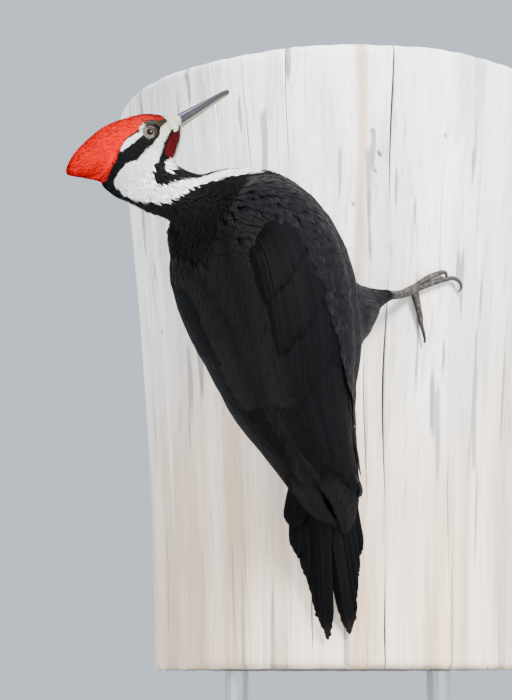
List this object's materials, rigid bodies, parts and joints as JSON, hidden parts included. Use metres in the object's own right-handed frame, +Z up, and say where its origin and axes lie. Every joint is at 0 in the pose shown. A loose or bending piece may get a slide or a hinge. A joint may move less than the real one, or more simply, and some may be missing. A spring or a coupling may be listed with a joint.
{
  "type": "pileated woodpecker",
  "caption": "Life-size still model of a male pileated woodpecker clinging to a short cut length of weathered pole, its head turned back, on a plain flat display stand.",
  "frame": {"origin": "centre of the underside of the round base, under the pole's axis", "axes": "+Z up along the pole; -Y towards the side the bird clings to, so the bird's back faces -Y; +X to the right when looking along +Y, the way the bird's bill points"},
  "size_m": [0.3691, 0.4563, 0.5287],
  "materials": {
    "body_plumage": "soft black feathers with a faint slate sheen, white face stripes",
    "crest_plumage": "matt bright red feathers",
    "horn": "satin slate-grey horn, paler along the middle of the bill",
    "eye": "wet, glossy, pale iris with a dark pupil",
    "foot_skin": "matt scaled grey-brown skin",
    "weathered_wood": "bare, bleached and cracked softwood",
    "base_wood": "dark oiled hardwood, satin",
    "rod_steel": "brushed steel rod"
  },
  "bodies": {
    "root": {"stand_base": "base_wood", "stand_rod_left": "rod_steel", "stand_rod_right": "rod_steel", "perch_pole": "weathered_wood", "trunk": "body_plumage", "neck": "body_plumage", "head": "body_plumage", "crest": "crest_plumage", "bill_upper": "horn", "bill_lower": "horn", "eye_right": "eye", "eye_left": "eye", "wing_right": "body_plumage", "wing_left": "body_plumage", "tail": "body_plumage", "thigh_right": "body_plumage", "tarsus_right": "foot_skin", "thigh_left": "body_plumage", "tarsus_left": "foot_skin", "toe_inner_right": "foot_skin", "claw_inner_right": "horn", "toe_middle_right": "foot_skin", "claw_middle_right": "horn", "toe_outer_right": "foot_skin", "claw_outer_right": "horn", "toe_hind_right": "foot_skin", "claw_hind_right": "horn", "toe_inner_left": "foot_skin", "claw_inner_left": "horn", "toe_middle_left": "foot_skin", "claw_middle_left": "horn", "toe_outer_left": "foot_skin", "claw_outer_left": "horn", "toe_hind_left": "foot_skin", "claw_hind_left": "horn"}
  },
  "joints": []
}
